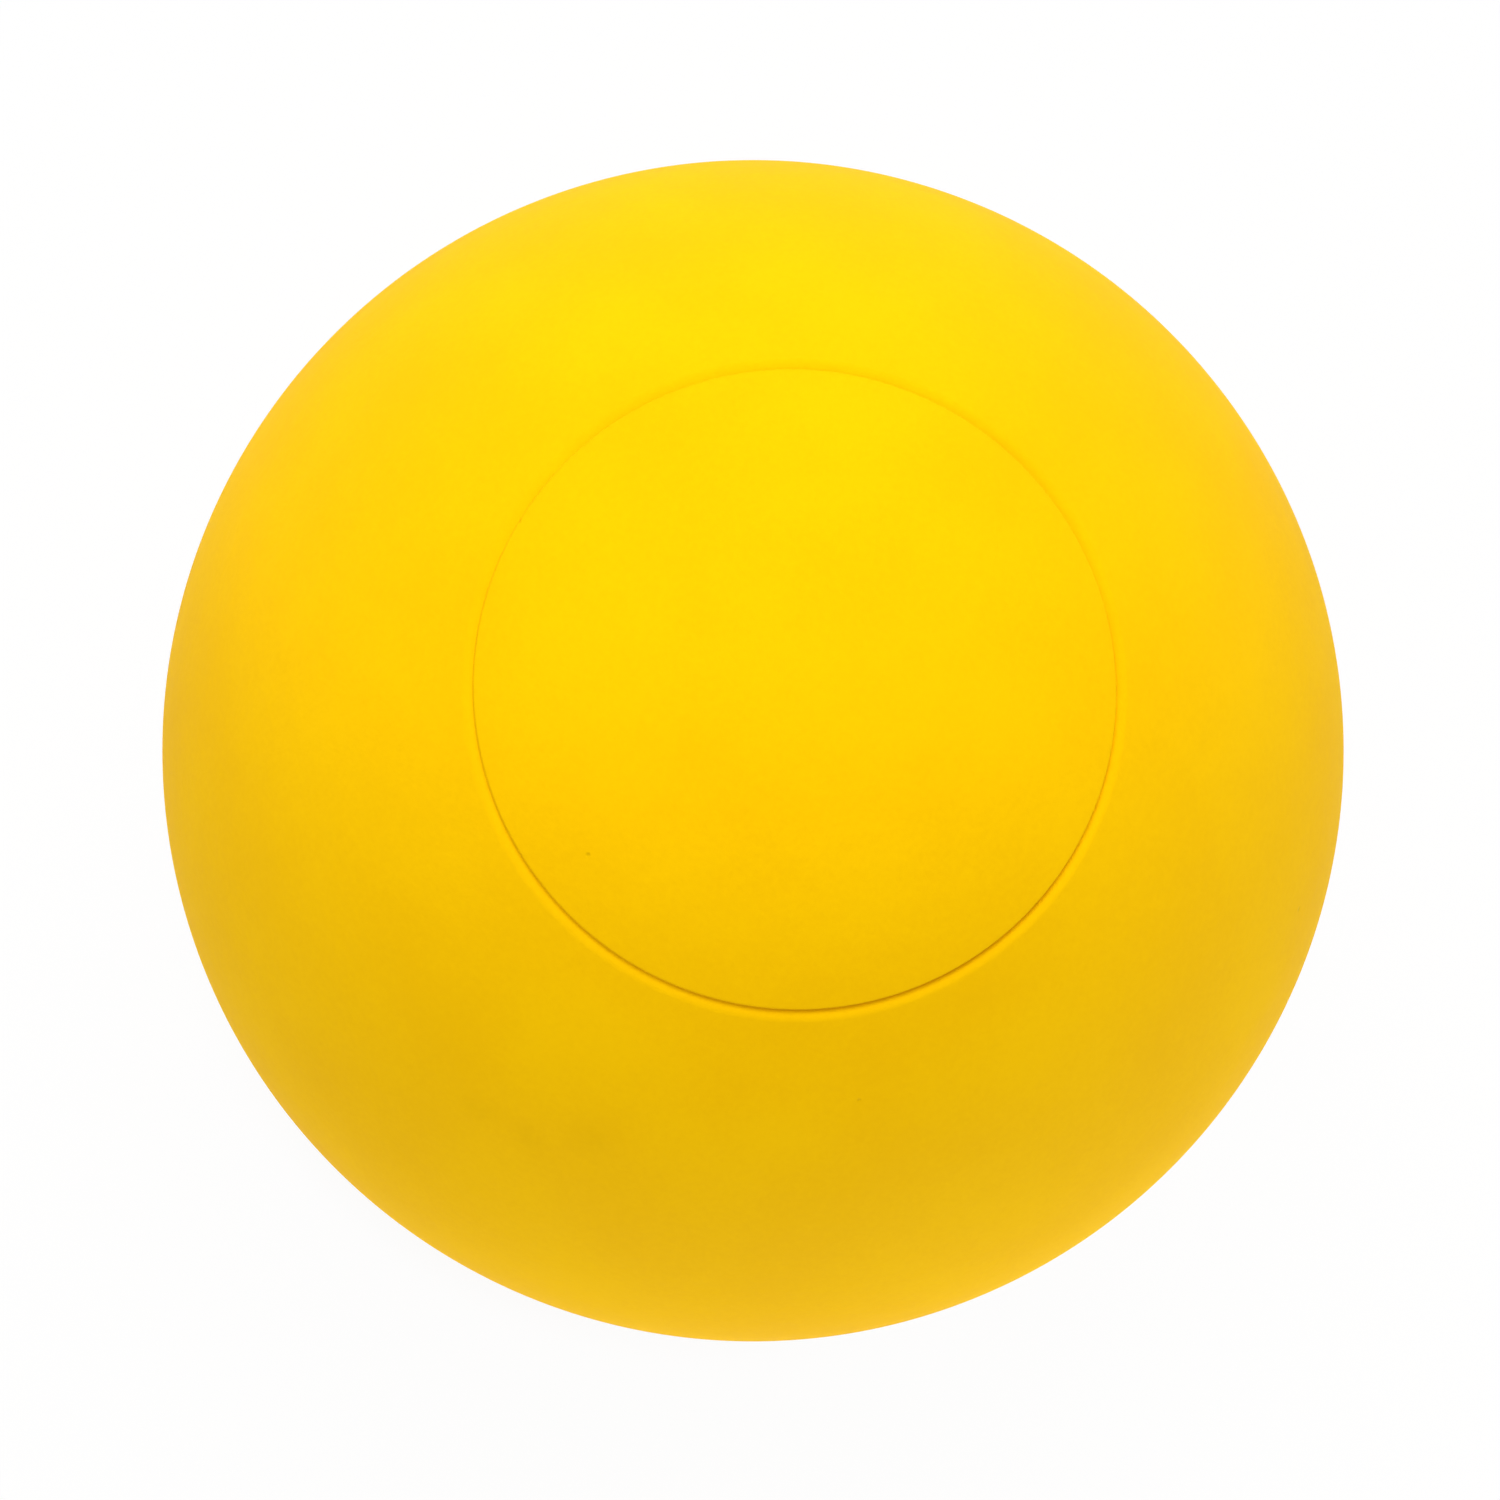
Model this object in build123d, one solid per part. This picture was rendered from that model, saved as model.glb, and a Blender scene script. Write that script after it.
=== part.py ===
from build123d import *
import math
import os

# A lacrosse ball: a solid rubber core inside a cover of two half shells, cured together.
# Origin at the centre of the ball. +Z is the mould axis, out through the middle of the imprint field.
# The two covers meet on the XY plane, which is the parting plane of the mould.

# Driving dimensions, in millimetres
BALL_DIAMETER = 63.5
COVER_THICKNESS = 5.0

# Round groove that the edge of the imprint insert leaves in the upper cover
RING_DIAMETER = 31.75  # straight across, at the bottom of the groove
RING_DEPTH = 0.24
RING_INNER_WALL = 0.2  # width of the steep wall, on the side of the imprint field
RING_OUTER_RAMP = 0.6  # width of the gentle ramp, on the outer side

# Fine V along the parting line, half of it on the rim of each cover
SEAM_WIDTH = 0.36
SEAM_DEPTH = 0.07

# Worked out from the above
BALL_RADIUS = BALL_DIAMETER / 2
CORE_RADIUS = BALL_RADIUS - COVER_THICKNESS


def at(radius, polar_angle):
    """Point of the half section, at an angle in radians from the mould axis."""
    return (radius * math.sin(polar_angle), radius * math.cos(polar_angle))


def arc_about_centre(radius, first_angle, last_angle):
    """Arc about the centre of the ball, between two angles from the mould axis."""
    middle_angle = (first_angle + last_angle) / 2
    return ThreePointArc(at(radius, first_angle), at(radius, middle_angle), at(radius, last_angle))


def ring_groove():
    """Edges of the ring groove, with the angles where it leaves the round surface and comes back to it."""
    bottom_angle = math.asin(RING_DIAMETER / 2 / (BALL_RADIUS - RING_DEPTH))
    inner_angle = bottom_angle - RING_INNER_WALL / BALL_RADIUS
    outer_angle = bottom_angle + RING_OUTER_RAMP / BALL_RADIUS
    bottom = at(BALL_RADIUS - RING_DEPTH, bottom_angle)
    inner_wall = Line(at(BALL_RADIUS, inner_angle), bottom)
    # The ramp leaves the outer surface along its tangent and falls into the groove.
    outer_edge = at(BALL_RADIUS, outer_angle)
    inward_tangent = (-math.cos(outer_angle), math.sin(outer_angle))
    outer_ramp = TangentArc(outer_edge, bottom, tangent=inward_tangent)
    return [inner_wall, outer_ramp], inner_angle, outer_angle


def cover(with_ring):
    """Half shell above the parting plane, turned about the mould axis from its half section."""
    parting_angle = math.pi / 2
    seam_angle = math.acos(SEAM_WIDTH / 2 / BALL_RADIUS)
    if with_ring:
        ring_edges, inner_angle, outer_angle = ring_groove()
        outside = [
            arc_about_centre(BALL_RADIUS, 0, inner_angle),
            *ring_edges,
            arc_about_centre(BALL_RADIUS, outer_angle, seam_angle),
        ]
    else:
        outside = [arc_about_centre(BALL_RADIUS, 0, seam_angle)]
    rim_corner = at(BALL_RADIUS - SEAM_DEPTH, parting_angle)
    seam_face = Line(at(BALL_RADIUS, seam_angle), rim_corner)
    parting_face = Line(rim_corner, at(CORE_RADIUS, parting_angle))
    inside = arc_about_centre(CORE_RADIUS, parting_angle, 0)
    on_axis = Line(at(CORE_RADIUS, 0), at(BALL_RADIUS, 0))
    half_section = make_face([*outside, seam_face, parting_face, inside, on_axis])
    return revolve(Plane.XZ * half_section, axis=Axis.Z)


def core():
    """Solid ball that fills the covers."""
    return Sphere(CORE_RADIUS)


def upper_cover():
    """Half shell with the imprint field, which is bare inside its ring."""
    return cover(with_ring=True)


def lower_cover():
    """Plain half shell, on the other side of the parting plane."""
    return mirror(cover(with_ring=False), about=Plane.XY)


os.makedirs("parts", exist_ok=True)
for make_piece in (core, upper_cover, lower_cover):
    export_step(make_piece(), f"parts/{make_piece.__name__}.step")
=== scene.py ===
import math

import bpy
import numpy as np
from mathutils import Matrix, Vector


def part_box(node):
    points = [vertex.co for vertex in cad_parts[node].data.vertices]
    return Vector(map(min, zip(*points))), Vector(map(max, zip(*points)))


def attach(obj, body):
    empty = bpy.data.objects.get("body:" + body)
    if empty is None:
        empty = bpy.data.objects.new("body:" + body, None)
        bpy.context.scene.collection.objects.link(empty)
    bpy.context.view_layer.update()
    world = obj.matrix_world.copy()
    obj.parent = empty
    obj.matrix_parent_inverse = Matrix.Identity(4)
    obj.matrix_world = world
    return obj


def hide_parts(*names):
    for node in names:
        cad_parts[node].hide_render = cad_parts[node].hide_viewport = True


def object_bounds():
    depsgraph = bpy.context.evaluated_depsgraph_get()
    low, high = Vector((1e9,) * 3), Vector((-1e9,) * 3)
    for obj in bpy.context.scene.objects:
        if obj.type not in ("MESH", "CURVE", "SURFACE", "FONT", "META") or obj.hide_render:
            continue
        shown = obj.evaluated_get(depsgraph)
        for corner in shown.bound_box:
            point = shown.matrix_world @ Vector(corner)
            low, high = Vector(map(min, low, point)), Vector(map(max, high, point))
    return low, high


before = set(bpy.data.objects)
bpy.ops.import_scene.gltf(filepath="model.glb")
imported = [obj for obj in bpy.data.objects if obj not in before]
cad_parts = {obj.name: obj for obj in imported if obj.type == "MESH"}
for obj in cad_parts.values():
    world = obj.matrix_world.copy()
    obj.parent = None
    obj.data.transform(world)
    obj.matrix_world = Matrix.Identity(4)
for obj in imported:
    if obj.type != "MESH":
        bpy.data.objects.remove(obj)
cad_low, cad_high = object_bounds()

# Sizes of the ball in metres. Origin at its centre, +Z out through the middle of the imprint field.
MM = 0.001
BALL_RADIUS = cad_high.z
CORE_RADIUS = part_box("core")[1].z
FLOOR_HEIGHT = cad_low.z

# Groove round the imprint field: a steep wall on the inside and a gentle ramp on the outside
RING_RADIUS = 15.875 * MM
RING_DEPTH = 0.24 * MM
RING_INNER_WALL = 0.2 * MM
RING_OUTER_RAMP = 0.6 * MM
RING_SKEW = 0.3  # share by which the groove is deeper to the right of the picture, and shallower to the left
RING_ANGLE = math.asin(RING_RADIUS / (BALL_RADIUS - RING_DEPTH))

# Fine V along the parting line, half of it on each cover, uneven as trimmed rubber is
SEAM_WIDTH = 0.36 * MM
SEAM_DEPTH = 0.07 * MM
SEAM_UNEVENNESS = 0.3
SEAM_WAVES = ((7, 0.5, 0.4), (19, 0.3, 2.1), (43, 0.2, 4.0))  # waves round the ball, share, phase

# Mesh spacing along the surface
SEGMENTS = 360
FINE_STEP = 0.02 * MM
COARSE_STEP = 0.6 * MM
INNER_STEP = 2.0 * MM
STEP_GROWTH = 0.15
SHARP_ANGLE = math.radians(45)

# Texture map of a cover: a large disc for the outside, a small one in the corner for the rest
OUTSIDE_DISC = ((0.485, 0.485), 0.48)
INSIDE_DISC = ((0.895, 0.895), 0.095)

# Framing, in pixels of the square photograph
PHOTO_SIZE = 1500
BALL_CENTRE_PX = (753.0, 750.7)
BALL_RADIUS_PX = 590.75

# Camera: its distance, how far the mould axis leans from the line of sight and to which side of the picture,
# and the bearing from +X of the picture's right-hand side
CAMERA_DISTANCE = 9.4 * BALL_RADIUS
CLIP_START = 10 * MM
SENSOR_WIDTH = 36.0
AXIS_LEAN = math.radians(7.9)
AXIS_SIDE = math.radians(55.4)
PICTURE_TURN = math.radians(120)
BALL_SLOPE = math.tan(math.asin(BALL_RADIUS / CAMERA_DISTANCE))

# Linear colours
DEEP_YELLOW = (0.94, 0.53, 0.0012)
CLEAR_YELLOW = (0.98, 0.575, 0.0012)
LEMON_SHEEN = (1.0, 0.8, 0.05)
CORE_BROWN = (0.3, 0.22, 0.13)
CORE_CRUMB = (0.17, 0.12, 0.07)
FLOOR_WHITE = (0.85, 0.85, 0.85)

# Patterns in the rubber: size of the patches, and levels of detail
MOTTLE = (9 * MM, 5.0)
SPECKLE = (0.35 * MM, 2.0)
BLOTCHES = (1.2 * MM, 3.0)
WAVINESS = (1.6 * MM, 2.0)
GRAIN = (0.18 * MM, 2.0)
CRUMBS = (1.5 * MM, 6.0)

# Colour of the cover: share of the mottling beside the speckle, and where it turns from deep to clear yellow
MOTTLE_SHARE = 0.7
YELLOW_TURNS = (0.3, 0.7)

# How much light dust, dirt and painted shade take away: dust and painted shade in the grooves, darker colour
# at the pits, dirt in the smudges
GROOVE_DUST_AND_SHADE = 0.03
PIT_DARKENING = 0.12
SMUDGE_DIRT = 0.05

# Finish of the cover: duller in its patches and grooves, smoother in the imprint field
COVER_IOR = 1.1
COVER_ROUGHNESS = 0.56
MOTTLE_DULLNESS = 0.12
GROOVE_DULLNESS = 0.15
FIELD_POLISH = 0.05
FIELD_FADE = 0.2 * MM

# Relief of the cover
WAVE_HEIGHT = 0.04 * MM
GRAIN_HEIGHT = 0.012 * MM
PIT_DEPTH = 0.04 * MM

# Finish and relief of the core
CORE_IOR = 1.3
CORE_ROUGHNESS = 0.7
CRUMB_DULLNESS = 0.2
CRUMB_HEIGHT = 0.15 * MM
BROWN_TURNS = (0.35, 0.65)

# Small flaws on the cover: places in pixels of the photograph, and radii
PITS = ((519, 521, 0.22 * MM), (588, 855, 0.16 * MM), (1299, 909, 0.24 * MM), (859, 1100, 0.15 * MM))
SMUDGES = ((480, 1110, 1.7 * MM), (530, 1138, 1.6 * MM), (589, 1138, 2.0 * MM))

# Lamps: bearing from the picture's right-hand side and elevation in degrees, kind, and power in watts.
# A kind is a distance from the ball, a width and a height in metres.
SOFT_BOX = (0.7, 0.5, 0.5)
BOUNCE_STRIP = (0.12, 0.15, 0.02)
LAMPS = {
    "key": (90, 45, SOFT_BOX, 1.5),
    "high_key": (90, 65, SOFT_BOX, 2.34),
    "left_fill": (180, 25, SOFT_BOX, 0.37),
    "right_fill": (0, 25, SOFT_BOX, 0.1),
    "front_bounce": (-90, -10, BOUNCE_STRIP, 0.026),
    "right_bounce": (-45, -10, BOUNCE_STRIP, 0.02),
}
WORLD_LIGHT = 0.54

# Floor: how white it shows, and how far from the centre of the ball that starts and is full
FLOOR_HALF_WIDTH = 2.0
FLOOR_GLOW = 0.96
GLOW_STARTS = BALL_RADIUS
GLOW_FULL = 1.45 * BALL_RADIUS


# Shape of the covers

def eased(share):
    """Eases a share from 0 to 1 with no corner at either end."""
    return share * share * (3 - 2 * share)


def ring_groove(polar, azimuth):
    """Depth of the groove round the imprint field. Its insert sat a little askew in the mould."""
    outward = (polar - RING_ANGLE) * BALL_RADIUS
    wall = eased(np.clip(1 + outward / RING_INNER_WALL, 0, 1))
    ramp = np.clip(1 - outward / RING_OUTER_RAMP, 0, 1) ** 2
    skew = 1 + RING_SKEW * np.cos(azimuth - PICTURE_TURN)
    return RING_DEPTH * skew * np.where(outward < 0, wall, ramp)


def parting_seam(polar, azimuth):
    """Depth of the V along the parting line."""
    from_rim = (math.pi / 2 - polar) * BALL_RADIUS
    waves = sum(share * np.sin(count * azimuth + phase) for count, share, phase in SEAM_WAVES)
    return SEAM_DEPTH * (1 + SEAM_UNEVENNESS * waves) * np.clip(1 - 2 * from_rim / SEAM_WIDTH, 0, 1)


def graded_angles(fine_zones):
    """Angles from the pole to the rim: close together in the fine zones, opening out away from them."""
    angles = [0.0]
    rim = math.pi / 2
    while angles[-1] < rim:
        here = angles[-1]
        away = min(max(start - here, here - end, 0.0) for start, end in fine_zones)
        angles.append(here + min(COARSE_STEP / BALL_RADIUS, FINE_STEP / BALL_RADIUS + STEP_GROWTH * away))
    return np.array(angles[:-1] + [rim])


def outside_angles(with_ring):
    """Angles of the rows over the outside of a cover."""
    fine_zones = [(math.pi / 2 - SEAM_WIDTH / 2 / BALL_RADIUS, math.pi / 2)]
    if with_ring:
        ring_start = RING_ANGLE - RING_INNER_WALL / BALL_RADIUS
        fine_zones.append((ring_start, RING_ANGLE + RING_OUTER_RAMP / BALL_RADIUS))
    return graded_angles(fine_zones)


def rows_round_axis(radii, polar, azimuth):
    """Points at these radii and angles, in rows round the mould axis."""
    across = radii * np.sin(polar)
    return np.stack([across * np.cos(azimuth), across * np.sin(azimuth), radii * np.cos(polar)], axis=-1)


def cover_rows(with_ring):
    """Rows of points over the outside of a half shell and back inside it, and how many lie outside."""
    azimuth = np.arange(SEGMENTS) * 2 * math.pi / SEGMENTS
    polar, turn = np.meshgrid(outside_angles(with_ring), azimuth, indexing="ij")
    depth = parting_seam(polar, turn)
    if with_ring:
        depth = depth + ring_groove(polar, turn)
    outside = rows_round_axis(BALL_RADIUS - depth, polar, turn)
    inside_count = round(CORE_RADIUS * math.pi / 2 / INNER_STEP)
    polar, turn = np.meshgrid(np.linspace(math.pi / 2, 0, inside_count), azimuth, indexing="ij")
    inside = rows_round_axis(np.full_like(polar, CORE_RADIUS), polar, turn)
    return np.concatenate([outside, inside]), len(outside)


def lathe_faces(row_count):
    """Faces of a closed surface, by row. Its first and last row are one point each, on the mould axis."""
    columns = [(column, (column + 1) % SEGMENTS) for column in range(SEGMENTS)]
    last_pole = 1 + (row_count - 2) * SEGMENTS
    last_row = last_pole - SEGMENTS
    faces = [(0, 1 + column, 1 + beside) for column, beside in columns]
    for here in range(1, last_row, SEGMENTS):
        below = here + SEGMENTS
        for column, beside in columns:
            faces.append((here + column, below + column, below + beside, here + beside))
    return faces + [(last_row + column, last_pole, last_row + beside) for column, beside in columns]


def map_cover(mesh, outside_count):
    """Texture map of a cover: each point at its share of the way from a pole to the rim."""
    layer = mesh.uv_layers.new(name="OFBake")
    row_count = (len(mesh.vertices) - 2) // SEGMENTS + 2
    for face in mesh.polygons:
        outside = face.index // SEGMENTS < outside_count - 1
        (middle_u, middle_v), radius = OUTSIDE_DISC if outside else INSIDE_DISC
        for corner in face.loop_indices:
            point = mesh.loops[corner].vertex_index
            place = mesh.vertices[point].co
            if outside:
                share = math.atan2(math.hypot(place.x, place.y), abs(place.z)) / (math.pi / 2)
            else:
                row = (point + SEGMENTS - 1) // SEGMENTS
                share = (row_count - 1 - row) / (row_count - outside_count)
            turn = math.atan2(place.y, place.x)
            across = radius * share
            layer.uv[corner].vector = (middle_u + across * math.cos(turn), middle_v + across * math.sin(turn))


def cover_piece(name, with_ring, upper):
    """Half shell above the parting plane, or below it."""
    rows, outside_count = cover_rows(with_ring)
    points = np.concatenate([rows[0, :1], rows[1:-1].reshape(-1, 3), rows[-1, :1]])
    faces = lathe_faces(len(rows))
    if not upper:
        points[:, 2] *= -1
        faces = [face[::-1] for face in faces]
    mesh = bpy.data.meshes.new(name)
    mesh.from_pydata(points.tolist(), [], faces)
    mesh.shade_smooth()
    mesh.set_sharp_from_angle(angle=SHARP_ANGLE)
    map_cover(mesh, outside_count)
    piece = bpy.data.objects.new(name, mesh)
    bpy.context.scene.collection.objects.link(piece)
    return piece


# Node helpers

def node(tree, kind, inputs=None, **settings):
    """New node. Each input is a value, or the output that feeds it."""
    made = tree.nodes.new(kind)
    for name, value in settings.items():
        setattr(made, name, value)
    for name, value in (inputs or {}).items():
        if isinstance(value, bpy.types.NodeSocket):
            tree.links.new(value, made.inputs[name])
        else:
            made.inputs[name].default_value = value
    return made


def calc(tree, operation, *values):
    """Arithmetic on values and outputs."""
    return node(tree, "ShaderNodeMath", dict(enumerate(values)), operation=operation).outputs[0]


def fade(tree, value, zero_at, one_at):
    """Eases from 0 to 1 as a value goes from one number to another."""
    ends = {"Value": value, "From Min": zero_at, "From Max": one_at}
    return node(tree, "ShaderNodeMapRange", ends, interpolation_type="SMOOTHSTEP").outputs["Result"]


def length(tree, vector):
    """Length of a vector."""
    return node(tree, "ShaderNodeVectorMath", {0: vector}, operation="LENGTH").outputs["Value"]


def noise(tree, place, size, detail):
    """Noise from 0 to 1 whose patches are about this size."""
    inputs = {"Vector": place, "Scale": 1 / size, "Detail": detail}
    return node(tree, "ShaderNodeTexNoise", inputs).outputs["Fac"]


def mixed(tree, share, first, second):
    """Colour that goes from the first to the second with a share."""
    inputs = {"Fac": share, "Color1": (*first, 1.0), "Color2": (*second, 1.0)}
    return node(tree, "ShaderNodeMixRGB", inputs).outputs["Color"]


def mixed_shader(tree, share, first, second):
    """Shader that goes from the first to the second with a share."""
    inputs = {0: share, 1: first.outputs[0], 2: second.outputs[0]}
    return node(tree, "ShaderNodeMixShader", inputs).outputs["Shader"]


def new_material(name):
    """Empty node material, with its tree and output."""
    material = bpy.data.materials.new(name)
    material.use_nodes = True
    tree = material.node_tree
    tree.nodes.clear()
    return material, tree, tree.nodes.new("ShaderNodeOutputMaterial")


def add_shader(tree, output, relief, inputs):
    """Surface shader with a height in metres as its relief."""
    bump = node(tree, "ShaderNodeBump", {"Height": relief, "Distance": 1.0, "Strength": 1.0})
    shader = node(tree, "ShaderNodeBsdfPrincipled", {**inputs, "Normal": bump.outputs["Normal"]})
    tree.links.new(shader.outputs["BSDF"], output.inputs["Surface"])


# Materials

def on_ball(across_px, down_px):
    """Point of the ball's surface under a pixel of the photograph."""
    right, up, back = camera_axes()
    per_px = BALL_SLOPE / BALL_RADIUS_PX
    sideways = (across_px - BALL_CENTRE_PX[0]) * per_px
    upward = (BALL_CENTRE_PX[1] - down_px) * per_px
    ray = (sideways * right + upward * up - back).normalized()
    nearest = CAMERA_DISTANCE * ray.dot(back)
    offset = CAMERA_DISTANCE ** 2 - BALL_RADIUS ** 2
    return back * CAMERA_DISTANCE + ray * (-nearest - math.sqrt(nearest ** 2 - offset))


def flaws(tree, place, marks):
    """1 at the middle of each mark on the cover, fading to 0 at its radius."""
    marked = 0.0
    for across_px, down_px, radius in marks:
        ends = {0: place, 1: on_ball(across_px, down_px)}
        away = node(tree, "ShaderNodeVectorMath", ends, operation="DISTANCE").outputs["Value"]
        marked = calc(tree, "MAXIMUM", marked, fade(tree, away, radius, 0.0))
    return marked


def groove_and_field(tree, place):
    """1 in the ring groove and the parting seam, and 1 in the imprint field."""
    parts = node(tree, "ShaderNodeSeparateXYZ", {"Vector": place})
    height = parts.outputs["Z"]
    level = node(tree, "ShaderNodeCombineXYZ", {"X": parts.outputs["X"], "Y": parts.outputs["Y"]})
    from_axis = length(tree, level.outputs["Vector"])
    is_upper = calc(tree, "GREATER_THAN", height, 0.0)
    from_ring = calc(tree, "ABSOLUTE", calc(tree, "SUBTRACT", from_axis, RING_RADIUS))
    in_ring = calc(tree, "MULTIPLY", fade(tree, from_ring, RING_INNER_WALL, 0.0), is_upper)
    in_seam = fade(tree, calc(tree, "ABSOLUTE", height), SEAM_WIDTH / 2, 0.0)
    field_edge = RING_RADIUS - RING_INNER_WALL
    in_field = calc(tree, "MULTIPLY", fade(tree, from_axis, field_edge, field_edge - FIELD_FADE), is_upper)
    return calc(tree, "MAXIMUM", in_ring, in_seam), in_field


def cover_colour(tree, place, mottle, in_groove, pits):
    """Two close yellows in soft mottling and fine speckle, under dirt and smudges, with dust and painted
    shade in the grooves and the pits darker in colour.
    """
    large = calc(tree, "MULTIPLY", mottle, MOTTLE_SHARE)
    small = calc(tree, "MULTIPLY", noise(tree, place, *SPECKLE), 1 - MOTTLE_SHARE)
    turned = fade(tree, calc(tree, "ADD", large, small), *YELLOW_TURNS)
    yellow = mixed(tree, turned, DEEP_YELLOW, CLEAR_YELLOW)
    smudges = calc(tree, "MULTIPLY", flaws(tree, place, SMUDGES), noise(tree, place, *BLOTCHES))
    # Painted shade, with a little dust, darkens the ring groove and the parting seam.
    dirt_and_shade = calc(tree, "MULTIPLY", in_groove, GROOVE_DUST_AND_SHADE)
    # The pits are made darker in colour, and the smudges darker with dirt.
    for mark, strength in ((pits, PIT_DARKENING), (smudges, SMUDGE_DIRT)):
        dirt_and_shade = calc(tree, "MAXIMUM", dirt_and_shade, calc(tree, "MULTIPLY", mark, strength))
    inputs = {0: yellow, "Scale": calc(tree, "SUBTRACT", 1.0, dirt_and_shade)}
    return node(tree, "ShaderNodeVectorMath", inputs, operation="SCALE").outputs["Vector"]


def cover_roughness(tree, mottle, in_groove, in_field):
    """Satin, patchy, smoother where the imprint insert pressed and duller in the grooves."""
    roughness = calc(tree, "ADD", COVER_ROUGHNESS, calc(tree, "MULTIPLY", mottle, MOTTLE_DULLNESS))
    roughness = calc(tree, "SUBTRACT", roughness, calc(tree, "MULTIPLY", in_field, FIELD_POLISH))
    return calc(tree, "ADD", roughness, calc(tree, "MULTIPLY", in_groove, GROOVE_DULLNESS))


def cover_relief(tree, place, pits):
    """Height of the gentle waviness and the fine grain of the mould, less the pits."""
    waves = calc(tree, "MULTIPLY", noise(tree, place, *WAVINESS), WAVE_HEIGHT)
    grain = calc(tree, "MULTIPLY", noise(tree, place, *GRAIN), GRAIN_HEIGHT)
    return calc(tree, "SUBTRACT", calc(tree, "ADD", waves, grain), calc(tree, "MULTIPLY", pits, PIT_DEPTH))


def cover_rubber():
    """Moulded yellow rubber: faintly mottled, finely grained, a little darker in its grooves with dust and
    painted shade.
    """
    material, tree, output = new_material("cover_rubber")
    place = tree.nodes.new("ShaderNodeTexCoord").outputs["Object"]
    in_groove, in_field = groove_and_field(tree, place)
    mottle = noise(tree, place, *MOTTLE)
    pits = flaws(tree, place, PITS)
    add_shader(tree, output, cover_relief(tree, place, pits), {
        "Base Color": cover_colour(tree, place, mottle, in_groove, pits),
        "Roughness": cover_roughness(tree, mottle, in_groove, in_field),
        "IOR": COVER_IOR,
        "Specular Tint": (*LEMON_SHEEN, 1.0),
    })
    return material


def core_rubber():
    """Dense brown rubber of the core, pressed from a crumbly mix."""
    material, tree, output = new_material("core_rubber")
    place = tree.nodes.new("ShaderNodeTexCoord").outputs["Object"]
    crumbs = noise(tree, place, *CRUMBS)
    add_shader(tree, output, calc(tree, "MULTIPLY", crumbs, CRUMB_HEIGHT), {
        "Base Color": mixed(tree, fade(tree, crumbs, *BROWN_TURNS), CORE_CRUMB, CORE_BROWN),
        "Roughness": calc(tree, "ADD", CORE_ROUGHNESS, calc(tree, "MULTIPLY", crumbs, CRUMB_DULLNESS)),
        "IOR": CORE_IOR,
    })
    return material


# Stage

def camera_axes():
    """Right, up and backward directions of the camera."""
    lean = math.sin(AXIS_LEAN)
    side = PICTURE_TURN + AXIS_SIDE
    back = Vector((-lean * math.cos(side), -lean * math.sin(side), math.cos(AXIS_LEAN)))
    across = Vector((math.cos(PICTURE_TURN), math.sin(PICTURE_TURN), 0))
    right = (across - across.dot(back) * back).normalized()
    return right, back.cross(right), back


def add_camera():
    """Camera at the photograph's place, with the ball where the photograph has it."""
    right, up, back = camera_axes()
    half_picture = PHOTO_SIZE / 2
    data = bpy.data.cameras.new("camera")
    data.sensor_width = SENSOR_WIDTH
    data.lens = SENSOR_WIDTH / 2 * BALL_RADIUS_PX / half_picture / BALL_SLOPE
    data.shift_x = (half_picture - BALL_CENTRE_PX[0]) / PHOTO_SIZE
    data.shift_y = (BALL_CENTRE_PX[1] - half_picture) / PHOTO_SIZE
    data.clip_start = CLIP_START
    camera = bpy.data.objects.new("camera", data)
    turn = Matrix((right, up, back)).transposed().to_4x4()
    camera.matrix_world = Matrix.Translation(back * CAMERA_DISTANCE) @ turn
    bpy.context.scene.collection.objects.link(camera)
    bpy.context.scene.camera = camera


def add_lamp(name, bearing, elevation, kind, power):
    """Lamp aimed at the ball."""
    distance, width, height = kind
    turn = PICTURE_TURN + math.radians(bearing)
    rise = math.radians(elevation)
    towards = Vector((math.cos(rise) * math.cos(turn), math.cos(rise) * math.sin(turn), math.sin(rise)))
    data = bpy.data.lights.new(name, "AREA")
    data.shape = "RECTANGLE"
    data.size = width
    data.size_y = height
    data.energy = power
    lamp = bpy.data.objects.new(name, data)
    lamp.location = towards * distance
    lamp.rotation_euler = towards.to_track_quat("Z", "Y").to_euler()
    lamp.visible_camera = False
    bpy.context.scene.collection.objects.link(lamp)


def seen_directly(tree):
    """1 for rays from the camera, a mirror or glass, 0 for light on its way to a surface."""
    path = tree.nodes.new("ShaderNodeLightPath")
    shown = path.outputs["Is Camera Ray"]
    for ray in ("Is Glossy Ray", "Is Transmission Ray"):
        shown = calc(tree, "MAXIMUM", shown, path.outputs[ray])
    return shown


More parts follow.
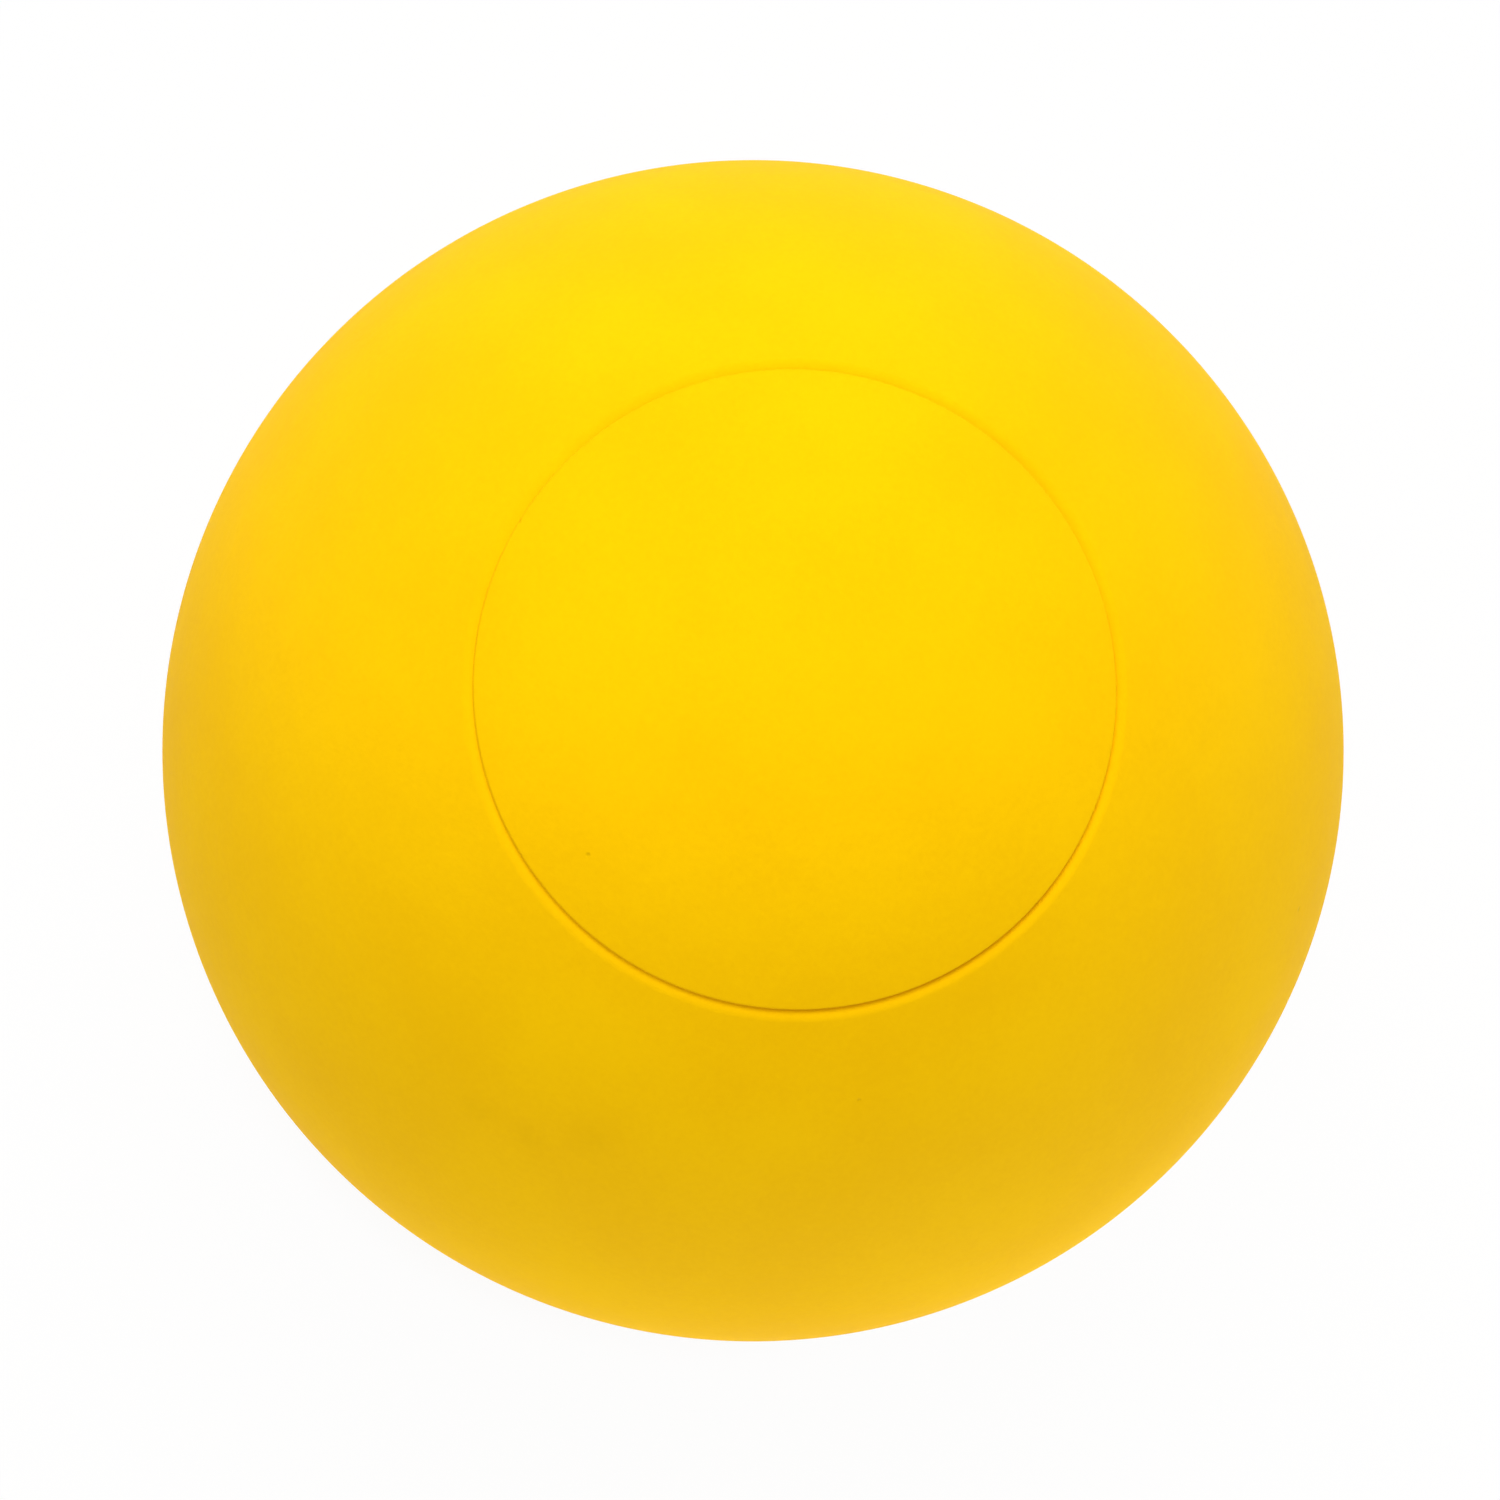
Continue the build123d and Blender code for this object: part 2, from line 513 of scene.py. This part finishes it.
def add_world():
    """Even light from all round, which shows as white."""
    world = bpy.data.worlds.new("studio")
    world.use_nodes = True
    tree = world.node_tree
    tree.nodes.clear()
    light = node(tree, "ShaderNodeBackground", {"Color": (1, 1, 1, 1), "Strength": WORLD_LIGHT})
    white = node(tree, "ShaderNodeBackground", {"Color": (1, 1, 1, 1), "Strength": 1.0})
    output = tree.nodes.new("ShaderNodeOutputWorld")
    tree.links.new(mixed_shader(tree, seen_directly(tree), light, white), output.inputs["Surface"])
    bpy.context.scene.world = world


def floor_white():
    """Matte white floor that shows paler away from the ball and keeps the shadow under it."""
    material, tree, output = new_material("floor_white")
    place = tree.nodes.new("ShaderNodeTexCoord").outputs["Object"]
    glow = calc(tree, "MULTIPLY", fade(tree, length(tree, place), GLOW_STARTS, GLOW_FULL), FLOOR_GLOW)
    matte = node(tree, "ShaderNodeBsdfDiffuse", {"Color": (*FLOOR_WHITE, 1.0)})
    white = node(tree, "ShaderNodeEmission", {"Strength": 1.0})
    share = calc(tree, "MULTIPLY", seen_directly(tree), glow)
    tree.links.new(mixed_shader(tree, share, matte, white), output.inputs["Surface"])
    return material


def add_floor():
    """Pale floor under the ball."""
    corners = [(-1, -1), (1, -1), (1, 1), (-1, 1)]
    points = [(x * FLOOR_HALF_WIDTH, y * FLOOR_HALF_WIDTH, FLOOR_HEIGHT) for x, y in corners]
    mesh = bpy.data.meshes.new("floor")
    mesh.from_pydata(points, [], [(0, 1, 2, 3)])
    mesh.materials.append(floor_white())
    floor = bpy.data.objects.new("floor", mesh)
    bpy.context.scene.collection.objects.link(floor)


# The ball
cover_material = cover_rubber()
for node_name, with_ring in (("upper_cover", True), ("lower_cover", False)):
    shell = cover_piece(node_name + "_shell", with_ring, upper=with_ring)
    shell.data.materials.append(cover_material)
    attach(shell, "root")
    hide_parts(node_name)
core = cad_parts["core"]
core.data.materials.clear()
core.data.materials.append(core_rubber())

# The studio
add_camera()
add_world()
add_floor()
for lamp_name, settings in LAMPS.items():
    add_lamp(lamp_name, *settings)
bpy.context.scene.view_settings.view_transform = "Standard"
